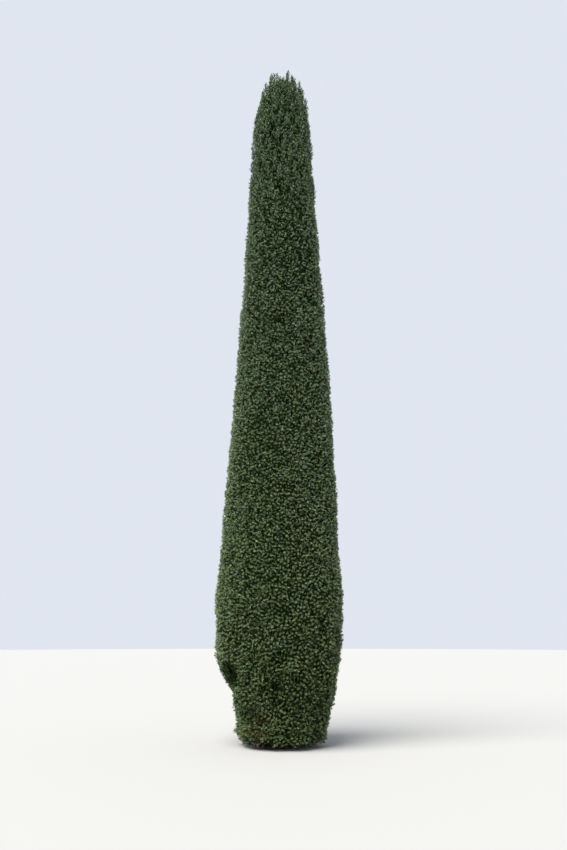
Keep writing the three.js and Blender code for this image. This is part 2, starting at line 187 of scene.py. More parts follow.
# Shoots, which carry a spray of needles at their end. SHOOT_DEPTHS, SHOOT_UP and END_SIZES have the
# values at the ground and at the tip of the tree: how deep the innermost shoots stand, how far all of
# them point up, and their size. Those under LEVEL_HEIGHT turn level. They stop TIP_ROOM under the tip
# of the tree, and only leading shoots and spires stand above that.
SHOOT_RADII = (0.004, 0.0018)
SHOOT_DEPTHS = (0.045, 0.075)
SHOOT_LENGTH = 0.036
SHOOT_SIZES = (0.7, 1.2)
SHOOT_OUT = 0.1
SHOOT_LIFT = 0.45
SHOOT_UP = (0.1, 1.0)
UP_POWER = 4
END_SIZES = (0.88, 1.12)
SHOOT_SWAY = 0.82
SHOOT_LEAN = 0.46
LEVEL_HEIGHT = 0.15
TIP_ROOM = 0.22

# A spray of needles, wide open below and closing towards its tip. Its needles are wider than life,
# for as many as there are to close the crown. They lean in by NEEDLE_LEAN of their length.
NEEDLES = 10
NEEDLE_TILTS = (1.15, 0.6)
TILT_POWER = 1.6
TILT_SCATTER = 0.16
TURN_SCATTER = 0.3
NEEDLE_SIZES = (0.82, 1.12)
NEEDLE_LENGTH = 0.028
NEEDLE_WIDTH = 0.011
NEEDLE_LEAN = 0.12
SPRAY_KINDS = 6

# The leading shoots at the tip of the tree: how far right and back of its axis they end, and how high
LEADERS = [
    (-0.174, 0.03, 10.95),
    (-0.087, 0.06, 10.98),
    (0.016, -0.16, 10.74),
    (0.103, 0.0, 10.99),
    (0.172, -0.06, 10.85),
    (0.02, 0.2, 10.84),
    (0.234, 0.13, 10.82),
    (0.3, -0.08, 10.72),
    (-0.26, -0.13, 10.57),
    (-0.19, 0.22, 10.71),
    (-0.09, -0.29, 10.5),
    (0.15, -0.26, 10.5),
    (0.354, 0.05, 10.66),
    (0.11, 0.33, 10.6),
    (-0.364, 0.08, 10.47),
    (0.407, -0.02, 10.41),
]
LEADER_HEIGHT = 0.48

# The outer leading shoots of each column: how far from the axis they end, at most OUTER_DROP under
# the dome, and at most OUTER_SPREAD of the way from the column's middle to its seams
OUTER_RADII = [0.33, 0.4, 0.448]
OUTER_DROP = 0.16
OUTER_SPREAD = 0.6

# Spires: upright shoots with needles all along them, which stand out of the crown near its tip, so
# many in each column. A spire's end is slim: over SPIRE_OPENING below it, its sprays spread out and
# grow to full size.
SPIRES = 28
SPIRE_LOW = 8.5
SPIRE_TOP = 10.85
SPIRE_ROOM = 0.035
SPIRE_LENGTHS = (0.15, 0.3)
SPIRE_SINK = 0.03
SPIRE_LEAN = 0.04
SPIRE_STEP = 0.019
# The spires' sprays all stand on them: these depths only set how much painted shade they take.
SPIRE_PAINTED_SHADE_DEPTHS = (0.0, 0.05)
SPIRE_SIZES = (1.15, 1.4)
SPIRE_RADIUS = 0.006
SPIRE_OPENING = 0.12
SPIRE_FANS = (0.3, 0.7)
SPIRE_SHARES = (0.85, 1.0)

# The dead patch low on the front left: rusty sprays above, and none under BARE_HEIGHT
DEAD_BEARING = math.radians(242)
DEAD_HEIGHT = 0.25
DEAD_REACH = 0.26
DEAD_SHARE = 0.65
BARE_HEIGHT = 0.13

# The patch's bare twigs. Each starts at BARE_START of the foot's radius, arches, and ends at most
# BARE_SHORT inside the crown. Its fork leaves it halfway, and ends within FORK_REACHES of its tip to
# the right, to the back and up.
BARE_TWIGS = 18
BARE_RADII = (0.007, 0.0035)
BARE_SIDES = 5
BARE_STEPS = 8
BARE_SPREAD = 0.8
BARE_START = 0.5
BARE_TURN = 0.3
BARE_HEIGHTS = (0.03, 0.2)
BARE_SHORT = 0.06
BARE_BEND = 0.6
BARE_ARCHES = (0.04, 0.12)
FORK_REACHES = [(-0.1, 0.1), (-0.1, 0.02), (0.0, 0.08)]
FORK_BEND = 0.6

# Plain colours of needles as sRGB, from the deepest shoots to the outermost, with the share of each
# and how much they shine. Their steps from dark to light are painted shade and light: the darker
# greens go to deep shoots, hollows, the foot and inner needles, and the lighter ones to outer shoots
# and lumps. Shaded green has no share: inner needles take it, and the very darkest shoots.
GREENS = [
    ("shaded green", (40, 56, 32), 0.0, 0.05),
    ("deep green", (64, 88, 57), 0.14, 0.1),
    ("dark green", (84, 106, 75), 0.2, 0.15),
    ("yew green", (101, 121, 91), 0.31, 0.2),
    ("grey green", (107, 124, 98), 0.25, 0.2),
    ("light green", (116, 131, 105), 0.1, 0.2),
]
# Each green has a cool and a warm kind. Low down most shoots are warm.
KINDS = [("cool", (1.0, 1.0, 1.0)), ("warm", (1.02, 1.0, 0.87))]
WARM_SHARES = (0.08, 1.0)
WARM_POWER = 3
# Odd shoots, with the share of all shoots that are so, and how much they shine. RUSTY is the number of
# the last of all these colours.
ODD_COLOURS = [
    ("young green", (130, 148, 104), 0.006, 0.4),
    ("rusty brown", (82, 68, 42), 0.0006, 0.05),
]
RUSTY = len(GREENS) * len(KINDS) + 1
NEEDLE_ROUGHNESS = 0.38

# What makes a shoot lighter or darker, as a share of the way through the greens: its depth as a part
# of the first value below, chance, its height up the tree, nearness to the ground, and the surface's
# lumps and hollows for each metre of their depth. The darkening with depth, near the ground, in
# hollows and between lumps is painted shade, and the lightening on lumps is painted light.
PAINTED_SHADE_DEPTH = 0.06
TINT_SCATTER = 0.15
TINT_SHIFTS = (-0.04, -0.005)
FOOT_PAINTED_SHADE = -0.1
LUMP_PAINTED_LIGHT_AND_SHADE = 3.0
HOLLOW_PAINTED_SHADE = 8.0

# The needles on this share of a spray, from its root, are so many greens darker, as painted shade
INNER_NEEDLES = 0.55
INNER_PAINTED_SHADE = 2

# Bark in patches of three sRGB colours, low, middle and high. The dark inner growth is made likewise;
# its near-black greens are the dense inner twigs and painted shade deep in the crown.
BARKS = {
    "yew": {
        "name": "Yew bark",
        "colours": [(58, 40, 32), (104, 66, 50), (134, 104, 84)],
        "scale": 26.0, "stretch": 0.3, "detail": 6.0, "shine": 0.3, "bump": 0.004,
    },
    "twig": {
        "name": "Twig bark",
        "colours": [(40, 48, 26), (57, 62, 36), (75, 79, 47)],
        "scale": 30.0, "stretch": 1.0, "detail": 3.0, "shine": 0.1, "bump": 0.0005,
    },
    "dead": {
        "name": "Dead twig bark",
        "colours": [(92, 80, 66), (118, 106, 90), (150, 140, 124)],
        "scale": 30.0, "stretch": 1.0, "detail": 3.0, "shine": 0.1, "bump": 0.0005,
    },
    "inner": {
        "name": "Inner growth",
        "colours": [(8, 15, 5), (15, 26, 9), (24, 38, 14)],
        "scale": 22.0, "stretch": 1.0, "detail": 5.0, "shine": 0.0, "bump": 0.002,
    },
}
PATCH_EDGES = (0.36, 0.5, 0.66)
BARK_ROUGHNESS = 0.85
BUMP_STRENGTH = 0.6

# Bark relief: how deep and how large its flakes are. They are drawn out upwards by RELIEF_STRETCH, and
# a roughness of RELIEF_MIDDLE neither stands out nor sinks in.
TRUNK_RELIEF = {"Depth": 0.012, "Flake Size": 0.05}
BOUGH_RELIEF = {"Depth": 0.006, "Flake Size": 0.03}
RELIEF_STRETCH = 0.3
RIDGE_DETAIL = 3.0
FLAKE_SHARE = 0.6
RELIEF_MIDDLE = 0.85

# The dark core of inner growth, from CORE_FOOT up to CORE_TOP: a shell for the dense inner twigs,
# whose near-black colour is painted shade deep in the crown. It stands CORE_DEPTH under the surface,
# and over CORE_FOOT_RISE it draws in to CORE_FOOT_DEPTH at its foot. Its dents are the product of
# waves, so many round it and so steep up it.
CORE_SIDES = 96
CORE_RINGS = 220
CORE_DEPTH = 0.09
CORE_FOOT = 0.04
CORE_FOOT_DEPTH = 0.2
CORE_FOOT_RISE = 0.2
CORE_TOP = 10.6
CORE_LEAST = 0.01
CORE_DENT = 0.02
CORE_DENT_WAVES = [(7, 5), (3, 9)]

# The studio: the camera looks at the tree as the photograph's did
CAMERA_PLACE = (0.085, -12.41, 1.6)
CAMERA_PITCH = math.radians(13.88)
CAMERA_LENS = 35
CAMERA_REACH = 200
FLOOR_RADIUS = 60
FLOOR_SIDES = 64
FLOOR_DROP = 0.002
FLOOR_COLOUR = (0.32, 0.32, 0.315, 1)
FLOOR_ROUGHNESS = 0.9
SKY_COLOUR = (0.86, 0.91, 1.0, 1)
SKY_STRENGTH = 0.87
SUN_COLOUR = (1.0, 0.97, 0.92)
SUN_STRENGTH = 7.5
SUN_WIDTH = math.radians(40)
SUN_TURN = (math.radians(24), math.radians(-19), 0)

# Values on points that the geometry trees work with, and that the finished meshes don't keep
WORKING_VALUES = ("along", "size", "tint", "inner", "radius")

# Seeds: one for the whole tree, and what the geometry trees add to theirs. A random kind of spray
# stays KIND_MARGIN under the number of kinds.
SEED = 7
KIND_SEED = 1.0
TILT_SEED = 50.0
SIZE_SEED = 90.0
KIND_MARGIN = 0.001
random.seed(SEED)


def lerp(a, b, share):
    return a + (b - a) * share


def clamp01(x):
    return min(1.0, max(0.0, x))


def fraction(x):
    return x - math.floor(x)


def chance(n):
    """A repeatable stand-in for chance, as in the part's source: a number gives a share from 0 to 1."""
    return fraction(math.sin(n * CHANCE_STEP + CHANCE_START) * CHANCE_SCALE)


def golden_across(i, column):
    """Where a column's twig or spire stands between its seams, from -1 to 1, by the golden section."""
    return 2 * fraction((i + COLUMN_SHIFT * column) * GOLDEN_SECTION) - 1


def even_turns(count):
    """Angles all the way round, evenly apart."""
    return [2 * math.pi * i / count for i in range(count)]


def bezier(start, bend, end, share):
    """The point at a share of the way along a curve through a start, past a bend, to an end."""
    return start.lerp(bend, share).lerp(bend.lerp(end, share), share)


def curve_path(curve, steps):
    """A curve as a path of points."""
    return [bezier(*curve, step / steps) for step in range(steps + 1)]


def crown_radius(z, angle=math.pi / 2):
    """The crown's radius on one side, or midway between its left and right where no side is given."""
    if z < WIDEST_Z:
        short = 1 - clamp01((z - FOOT_HEIGHT) / (WIDEST_Z - FOOT_HEIGHT))
        drawn = 1 - FOOT_TAPER * clamp01(1 - z / FOOT_HEIGHT)
        foot = drawn * (FOOT_RADIUS + FOOT_SIDE * math.cos(angle))
        return lerp(WIDEST_RADIUS, foot, short**SWELL_POWER)
    if z < SHOULDER_Z:
        up = (z - WIDEST_Z) / (SHOULDER_Z - WIDEST_Z)
        return lerp(WIDEST_RADIUS, SHOULDER_RADIUS, up)
    over = clamp01((z - SHOULDER_Z) / (TREE_HEIGHT - SHOULDER_Z))
    return SHOULDER_RADIUS * math.sqrt(1 - over * over)


def dome_height(radius):
    """How high the crown's dome is at a distance from its middle."""
    share = clamp01(radius / SHOULDER_RADIUS)
    return SHOULDER_Z + (TREE_HEIGHT - SHOULDER_Z) * math.sqrt(1 - share * share)


def body_radius(z, angle):
    """The crown without the spires, which stand TIP_ROOM above it at the tip and SPIRE_ROOM out of it
    near there."""
    over = clamp01((z - SHOULDER_Z) / (TREE_HEIGHT - SHOULDER_Z))
    near_tip = clamp01((z - SPIRE_LOW) / (SHOULDER_Z - SPIRE_LOW))
    return max(0.0, crown_radius(z + TIP_ROOM * over, angle) - SPIRE_ROOM * near_tip)


def turn_between(a, b):
    """The angle from one bearing to another, from -pi to pi."""
    return (b - a + math.pi) % (2 * math.pi) - math.pi


def nearness(spot, angle, z):
    """How near a place on the crown is to the middle of a hollow or swelling: 1 there, 0 far off."""
    aside = body_radius(z, angle) * turn_between(math.radians(spot["bearing"]), angle)
    away = math.hypot(aside, z - spot["height"]) / spot["reach"]
    return math.exp(-SPOT_FADE * away * away)


def lump_height(angle, z):
    """How far the surface swells out, or sinks in, with its lumps and swellings."""
    radius = body_radius(z, angle)
    height = 0
    for lump in LUMPS:
        across = radius / lump["wide"]
        place = Vector((across * math.cos(angle), across * math.sin(angle), z / lump["tall"]))
        depth = lerp(*lump["depths"], clamp01(z / LUMP_LOW))
        height += depth * noise.noise(place) * min(1, LUMP_FADE * radius)
    return height + sum(swelling["rise"] * nearness(swelling, angle, z) for swelling in SWELLINGS)


def hollow_depth(angle, z):
    """How far the surface sinks in with its hollows."""
    return sum(hollow["depth"] * nearness(hollow, angle, z) for hollow in HOLLOWS)


def surface_radius(angle, z):
    """The crown's body with its lumps and hollows, on one side and at one height."""
    return body_radius(z, angle) + lump_height(angle, z) - hollow_depth(angle, z)


def trunk_radius(z, angle):
    """The trunk's radius, with the lobes of its root flare."""
    up = clamp01(z / TRUNK_HEIGHT) ** TRUNK_TAPER_POWER
    lobe = 1 + LOBE_DEPTH * math.cos(FLARE_LOBES * angle + LOBE_TURN)
    return lerp(TRUNK_RADIUS, TRUNK_TIP_RADIUS, up) + FLARE * lobe * math.exp(-z / FLARE_HEIGHT)


def axis_at(z):
    """The middle of the crown and the trunk at one height."""
    up = z / TREE_HEIGHT
    return Vector((LEAN_RIGHT * up + BOW * math.sin(math.pi * up) ** 2, LEAN_BACK * up, z))


def point_at(radius, angle, z):
    return axis_at(z) + Vector((radius * math.cos(angle), radius * math.sin(angle), 0))


def seam_angle(seam, z):
    turn = seam % len(COLUMNS)
    phase = 2 * math.pi * z / SEAM_WAVE_LENGTH + SEAM_WAVE_SHIFT * turn
    return (seam - 0.5) * COLUMN_ANGLE + SEAM_WAVE * math.sin(phase)


def angle_across(column, across, z):
    """A bearing in a column, from its first seam at -1 to its second at 1."""
    return lerp(seam_angle(column, z), seam_angle(column + 1, z), (across + 1) / 2)


def floor_height(column, tier, radius):
    """The height at which a tier's masses start, at a distance from the middle of the tree."""
    if tier == FOOT_TIER:
        return GROUND_GAP
    below = TIERS[tier - 1]
    if tier > TOP_TIER:
        return below["ceiling"]
    side = 1 if column % 2 else -1
    stagger = side * below["stagger"] * lerp(STAGGER_LEAST, 1, chance(column + STAGGER_STEP * tier))
    at_surface = below["ceiling"] + stagger
    return at_surface - below["dip"] * (1 - clamp01(radius / crown_radius(at_surface)))


def seat_of(column, tier):
    """Where a mass's stem begins beyond its bough, or would if it had one."""
    radius = BOUGH_RING * crown_radius(floor_height(column, tier, math.inf))
    z = floor_height(column, tier, radius) + BOUGH_ENTRY
    return radius, angle_across(column, 0, z), z


def bough_curve(column, tier):
    """A bough's start in the trunk, its bend and its tip."""
    radius, angle, z = seat_of(column, tier)
    start = max(z - BOUGH_RISE, LOW_START * z)
    bend = lerp(start, z, BOUGH_BEND_HEIGHT)
    return (
        point_at(0, angle, start),
        point_at(BOUGH_BEND_RADIUS * radius, angle, bend),
        point_at(radius, angle, z),
    )


def stem_curve(column, tier):
    """A mass's stem, from its bough's tip or from the trunk, and its radius where it starts."""
    if TIERS[tier].get("bough"):
        _, bend, start = bough_curve(column, tier)
        radius = BOUGH_TAPER * TIERS[tier]["bough"]
        along = (start - bend).normalized()
    elif tier == FOOT_TIER:
        angle = angle_across(column, FOOT_STEM_ACROSS, FOOT_STEM_START)
        start, radius, along = point_at(0, angle, FOOT_STEM_START), FOOT_STEM_RADIUS, None
    else:
        _, angle, z = seat_of(column, tier)
        start, radius, along = point_at(0, angle, z - TOP_STEM_DROP), TOP_STEM_RADIUS, None
    ceiling = floor_height(column, tier + 1, STEM_END[0] * crown_radius(start.z))
    rise = min(ceiling - STEM_HEADROOM, TOP_STEM_END) - start.z

    def at(place):
        z = start.z + rise * place[1]
        return point_at(place[0] * crown_radius(z), angle_across(column, 0, z), z)

    end = at(STEM_END)
    bend = start + along * STEM_BEND[1] * (end.z - start.z) if along else at(STEM_BEND)
    return (start, bend, end), radius


class Growth:
    """Limbs as paths with radii, and sprays as seats with their direction, size and colour."""

    def __init__(self):
        self.points, self.radii, self.edges = [], [], []
        self.seats, self.along, self.sizes, self.tints = [], [], [], []

    def limb(self, path, radii):
        first = len(self.points)
        for i, point in enumerate(path):
            self.points.append(point)
            self.radii.append(lerp(radii[0], radii[1], i / (len(path) - 1)))
        self.edges += [(i, i + 1) for i in range(first, first + len(path) - 1)]

    def spray(self, tip, along, size, tint):
        self.seats.append(tip - along * SHOOT_LENGTH * size)
        self.along.append(along)
        self.sizes.append(size)
        self.tints.append(tint)


def pick_tint(depth, angle, z):
    """The number of a shoot's colour, with painted light and shade: shoots that stand further out or
    on a lump are mostly lighter, and those in a hollow or near the ground are darker."""
    first_odd = len(GREENS) * len(KINDS)
    odd = random.random()
    for i, (_, _, part, _) in enumerate(ODD_COLOURS):
        odd -= part
        if odd < 0:
            return first_odd + i
    share = 1 - clamp01(depth / PAINTED_SHADE_DEPTH) + random.uniform(-TINT_SCATTER, TINT_SCATTER)
    share += lerp(*TINT_SHIFTS, z / TREE_HEIGHT) + FOOT_PAINTED_SHADE * clamp01(1 - z / LUMP_LOW)
    share += LUMP_PAINTED_LIGHT_AND_SHADE * lump_height(angle, z) - HOLLOW_PAINTED_SHADE * hollow_depth(angle, z)
    warm = random.random() < lerp(*WARM_SHARES, (1 - z / TREE_HEIGHT) ** WARM_POWER)
    for i, (_, _, part, _) in enumerate(GREENS):
        share -= part
        if share < 0 or i == len(GREENS) - 1:
            return i * len(KINDS) + warm


def dead_share(angle, z):
    """How far a shoot lies in the dead patch: 1 in its middle, 0 outside it."""
    aside = crown_radius(z, DEAD_BEARING) * turn_between(DEAD_BEARING, angle)
    return 1 - clamp01(math.hypot(aside, z - DEAD_HEIGHT) / DEAD_REACH)


def lowest_tip(angle):
    """How low the shoots reach on one side: their lower edge is uneven."""
    place = Vector((math.cos(angle), math.sin(angle), 0)) * SKIRT_WAVES
    return LOWEST_TIP + SKIRT * clamp01(SKIRT_SHIFT + noise.noise(place))


def grow_shoot(growth, root, tip, angle, tint):
    """A shoot with a spray at its tip, which points out, up and a little anywhere."""
    growth.limb([root, tip], SHOOT_RADII)
    outward = Vector((math.cos(angle), math.sin(angle), 0))
    sideways = Vector((-outward.y, outward.x, 0))
    along = (SHOOT_OUT + SHOOT_LIFT * abs(random.gauss(0, 1))) * outward
    along += SHOOT_SWAY * random.gauss(0, 1) * sideways
    along.z = SHOOT_LEAN * random.gauss(0, 1) + lerp(*SHOOT_UP, (tip.z / TREE_HEIGHT) ** UP_POWER)
    along.z *= clamp01((tip.z - LOWEST_TIP) / LEVEL_HEIGHT)
    size = random.uniform(*SHOOT_SIZES) * lerp(*END_SIZES, tip.z / TREE_HEIGHT)
    growth.spray(tip, along.normalized(), size, tint)


def grow_crown_shoot(growth, root, angle, z, depth):
    """A shoot that ends at a depth under the crown's surface, unless the dead patch is bare there."""
    dead = dead_share(angle, z)
    if dead and z < BARE_HEIGHT:
        return
    tip = point_at(max(0.0, surface_radius(angle, z) - depth), angle, z)
    tint = RUSTY if random.random() < DEAD_SHARE * dead else pick_tint(depth, angle, z)
    grow_shoot(growth, root, tip, angle, tint)


def grow_twig(growth, start, surface, angle, z):
    """A twig from its stem to the root of the fan that stands on one side at one height. Gives the
    root."""
    inset = min(FAN_INSET, FAN_INSET_MOST * surface)
    drop = min(FAN_DROP, FAN_DROP_MOST * z)
    root = point_at(max(FAN_ROOT_RADIUS, surface - inset), angle, z - drop)
    middle = start.lerp(root, 0.5) - Vector((0, 0, TWIG_SAG * (root - start).length))
    growth.limb([start, bezier(start, middle, root, 0.5), root], TWIG_RADII)
    return root


def grow_fan(growth, column, tier, stem, i):
    """One twig of a mass and the fan of shoots on it. As in the part's source, a twig's height goes
    with its number and its bearing by the golden section."""
    up = (i + 0.5) / TIERS[tier]["twigs"]
    low = floor_height(column, tier, math.inf)
    high = floor_height(column, tier + 1, math.inf) - (TIP_ROOM if tier == TOP_TIER else 0)
    z = lerp(low, high, up)
    angle = angle_across(column, golden_across(i, column), z)
    surface = surface_radius(angle, z)
    root = grow_twig(growth, bezier(*stem, lerp(*TWIG_SPAN, up)), surface, angle, z)
    turn = random.uniform(0, 2 * math.pi)
    for j in range(FAN_SHOOTS):
        spread = FAN_SPREAD * math.sqrt((j + 0.5) / FAN_SHOOTS)
        tip_z = z + FAN_STRETCH * spread * math.sin(turn + j * GOLDEN_ANGLE)
        aside = spread * math.cos(turn + j * GOLDEN_ANGLE)
        tip_angle = angle + aside / max(surface, FAN_TURN_RADIUS)
        if lowest_tip(tip_angle) < tip_z < TREE_HEIGHT - TIP_ROOM:
            depth = random.uniform(0, lerp(*SHOOT_DEPTHS, z / TREE_HEIGHT))
            grow_crown_shoot(growth, root, tip_angle, tip_z, depth)


def grow_spire(growth, tip, angle, length):
    """An upright shoot down from its tip, with sprays set round it by the golden angle."""
    lean = Vector((random.gauss(0, SPIRE_LEAN), random.gauss(0, SPIRE_LEAN), 1)).normalized()
    growth.limb([tip - length * lean, tip], (SPIRE_RADIUS, SHOOT_RADII[1]))
    turn = random.uniform(0, 2 * math.pi)
    for step in range(int(length / SPIRE_STEP)):
        opened = clamp01(step * SPIRE_STEP / SPIRE_OPENING)
        size = random.uniform(*SPIRE_SIZES) * lerp(*SPIRE_SHARES, opened)
        aside = Vector((math.cos(turn), math.sin(turn), 0))
        along = (lean + lerp(*SPIRE_FANS, opened) * aside).normalized()
        foot = tip - (step * SPIRE_STEP + SHOOT_LENGTH * size) * lean
        tint = pick_tint(random.uniform(*SPIRE_PAINTED_SHADE_DEPTHS), angle, tip.z)
        growth.spray(foot + SHOOT_LENGTH * size * along, along, size, tint)
        turn += GOLDEN_ANGLE


def grow_leaders(growth, column):
    """A column's share of the tree's leading shoots, its own outer ones, and its spires."""
    for i, (right, back, height) in enumerate(LEADERS):
        if i % len(COLUMNS) == column:
            tip = axis_at(height) + Vector((right, back, 0))
            grow_spire(growth, tip, math.atan2(back, right), LEADER_HEIGHT)
    for i, radius in enumerate(OUTER_RADII):
        across = lerp(-OUTER_SPREAD, OUTER_SPREAD, chance(column + OUTER_ACROSS_STEP * i))
        drop = OUTER_DROP * chance(column + OUTER_DROP_STEP * i + OUTER_DROP_SHIFT)
        height = dome_height(radius) - drop
        angle = angle_across(column, across, height)
        grow_spire(growth, point_at(radius, angle, height), angle, LEADER_HEIGHT)
    for i in range(SPIRES):
        height = lerp(SPIRE_LOW, SPIRE_TOP, (i + random.random()) / SPIRES)
        radius = crown_radius(height) - random.uniform(0, SPIRE_SINK)
        angle = angle_across(column, golden_across(i, column), height)
        grow_spire(growth, point_at(radius, angle, height), angle, random.uniform(*SPIRE_LENGTHS))


def grow_column(column):
    """All twigs and shoots of one column."""
    growth = Growth()
    for tier in range(len(TIERS)):
        stem, radius = stem_curve(column, tier)
        growth.limb(curve_path(stem, STEM_STEPS), (radius, STEM_TIP_RADIUS))
        for i in range(TIERS[tier]["twigs"]):
            grow_fan(growth, column, tier, stem, i)
    grow_leaders(growth, column)
    return growth


def grow_bare_twigs():
    """Dead twigs that arch out near the ground, each with a fork."""
    growth = Growth()
    radius = crown_radius(0, DEAD_BEARING)
    spread = BARE_SPREAD * DEAD_REACH / radius
    for _ in range(BARE_TWIGS):
        angle = DEAD_BEARING + random.uniform(-spread, spread)
        root_angle = angle + random.uniform(-BARE_TURN, BARE_TURN)
        root = point_at(BARE_START * radius, root_angle, random.uniform(*BARE_HEIGHTS))
        tip = point_at(radius - random.uniform(0, BARE_SHORT), angle, random.uniform(*BARE_HEIGHTS))
        bend = root.lerp(tip, BARE_BEND) + Vector((0, 0, random.uniform(*BARE_ARCHES)))
        path = curve_path((root, bend, tip), BARE_STEPS)
        growth.limb(path, BARE_RADII)
        fork = path[BARE_STEPS // 2]
        aside = Vector([random.uniform(*limits) for limits in FORK_REACHES])
        growth.limb([fork, fork.lerp(tip, 0.5) + FORK_BEND * aside, tip + aside], BARE_RADII)
    return growth


class Weave:
    """A node tree in the making. add() makes a node, sets its options, and fills each input with a
    value or joins it to another node's output."""

    def __init__(self, tree):
        self.tree = tree

    def add(self, kind, inputs=None, **options):
        node = self.tree.nodes.new(kind)
        for option, value in options.items():
            setattr(node, option, value)
        for socket, value in (inputs or {}).items():
            if isinstance(value, bpy.types.NodeSocket):
                self.tree.links.new(value, node.inputs[socket])
            else:
                node.inputs[socket].default_value = value
        return node.outputs

    def maths(self, operation, *values):
        return self.add("ShaderNodeMath", dict(enumerate(values)), operation=operation)[0]

    def mixed(self, share, low, high):
        """A colour a share of the way from one to another."""
        sockets = {"Factor": share, 6: low, 7: high}
        return self.add("ShaderNodeMix", sockets, data_type="RGBA")[2]

    def named(self, name, kind):
        return self.add("GeometryNodeInputNamedAttribute", {"Name": name}, data_type=kind)[0]

    def any_between(self, low, high, seed):
        """A random number from low to high for each element."""
        return self.add("FunctionNodeRandomValue", {2: low, 3: high, 8: seed}, data_type="FLOAT")[1]


def geometry_tree(name, sockets):
    """A geometry tree with a geometry in and out, and named inputs with their types and values."""
    tree = bpy.data.node_groups.new(name, "GeometryNodeTree")
    tree.interface.new_socket("Geometry", in_out="INPUT", socket_type="NodeSocketGeometry")
    for socket, kind, value in sockets:
        made = tree.interface.new_socket(socket, in_out="INPUT", socket_type=kind)
        if value is not None:
            made.default_value = value
    tree.interface.new_socket("Geometry", in_out="OUTPUT", socket_type="NodeSocketGeometry")
    weave = Weave(tree)
    return weave, weave.add("NodeGroupInput")


def finish_tree(weave, geometry):
    weave.add("NodeGroupOutput", {"Geometry": geometry})
    return weave.tree


def spray_tree():
    """One spray: needles set round an upright shoot by the golden angle, wide open below and
    closing towards the tip."""
    weave, given = geometry_tree(
        "Spray of needles",
        [
            ("Needles", "NodeSocketInt", NEEDLES),
            ("Shoot Length", "NodeSocketFloat", SHOOT_LENGTH),
            ("Seed", "NodeSocketInt", 0),
        ],
    )
    index = weave.add("GeometryNodeInputIndex")[0]
    last = weave.maths("SUBTRACT", given["Needles"], 1.0)
    share = weave.maths("DIVIDE", index, last)
    height = weave.maths("MULTIPLY", share, given["Shoot Length"])
    place = weave.add("ShaderNodeCombineXYZ", {"Z": height})[0]
    points = weave.add("GeometryNodePoints", {"Count": given["Needles"], "Position": place})[0]
    swing = weave.any_between(-TURN_SCATTER, TURN_SCATTER, given["Seed"])
    turn = weave.maths("MULTIPLY_ADD", index, GOLDEN_ANGLE, swing)
    closing = weave.maths("POWER", share, TILT_POWER)
    wide, narrow = NEEDLE_TILTS
    open_tilt = weave.maths("MULTIPLY_ADD", closing, narrow - wide, wide)
    tilt_seed = weave.maths("ADD", given["Seed"], TILT_SEED)
    scatter = weave.any_between(-TILT_SCATTER, TILT_SCATTER, tilt_seed)
    tilt = weave.maths("ADD", open_tilt, scatter)
    euler = weave.add("ShaderNodeCombineXYZ", {"X": tilt, "Z": turn})[0]
    rotation = weave.add("FunctionNodeEulerToRotation", {0: euler})[0]
    size = weave.any_between(*NEEDLE_SIZES, weave.maths("ADD", given["Seed"], SIZE_SEED))
    inner = weave.add(
        "FunctionNodeCompare", {0: share, 1: INNER_NEEDLES}, data_type="FLOAT", operation="LESS_THAN"
    )[0]
    points = weave.add(
        "GeometryNodeStoreNamedAttribute",
        {"Geometry": points, "Name": "inner", "Value": inner},
        data_type="BOOLEAN",
    )[0]
    needles = weave.add(
        "GeometryNodeInstanceOnPoints",
        {"Points": points, "Instance": given["Geometry"], "Rotation": rotation, "Scale": size},
    )[0]
    return finish_tree(weave, weave.add("GeometryNodeRealizeInstances", {"Geometry": needles})[0])


def spray_kinds(weave, needle):
    """All kinds of spray as instances, one of each."""
    spray = spray_tree()
    kinds = weave.tree.nodes.new("GeometryNodeJoinGeometry")
    for seed in range(SPRAY_KINDS):
        made = weave.add("GeometryNodeGroup", node_tree=spray)[0].node
        weave.tree.links.new(needle, made.inputs["Geometry"])
        made.inputs["Seed"].default_value = seed
        single = weave.add("GeometryNodeGeometryToInstance", {0: made.outputs[0]})[0]
        weave.tree.links.new(single, kinds.inputs[0])
    return kinds.outputs[0]


def deal_materials(weave, geometry, materials):
    """Gives each needle its shoot's colour, or, as painted shade, a darker green if it is an inner one.
    """
    tint = weave.named("tint", "INT")
    green = weave.maths("LESS_THAN", tint, float(len(GREENS) * len(KINDS)))
    shaded = weave.maths("MULTIPLY", weave.named("inner", "BOOLEAN"), green)
    darker = weave.maths("MULTIPLY", shaded, float(INNER_PAINTED_SHADE * len(KINDS)))
    tint = weave.maths("MAXIMUM", weave.maths("SUBTRACT", tint, darker), 0.0)
    for number, material in enumerate(materials):
        chosen = weave.add(
            "FunctionNodeCompare", {2: tint, 3: number}, data_type="INT", operation="EQUAL"
        )[0]
        geometry = weave.add(
            "GeometryNodeSetMaterial",
            {"Geometry": geometry, "Selection": chosen, "Material": material},
        )[0]
    return geometry


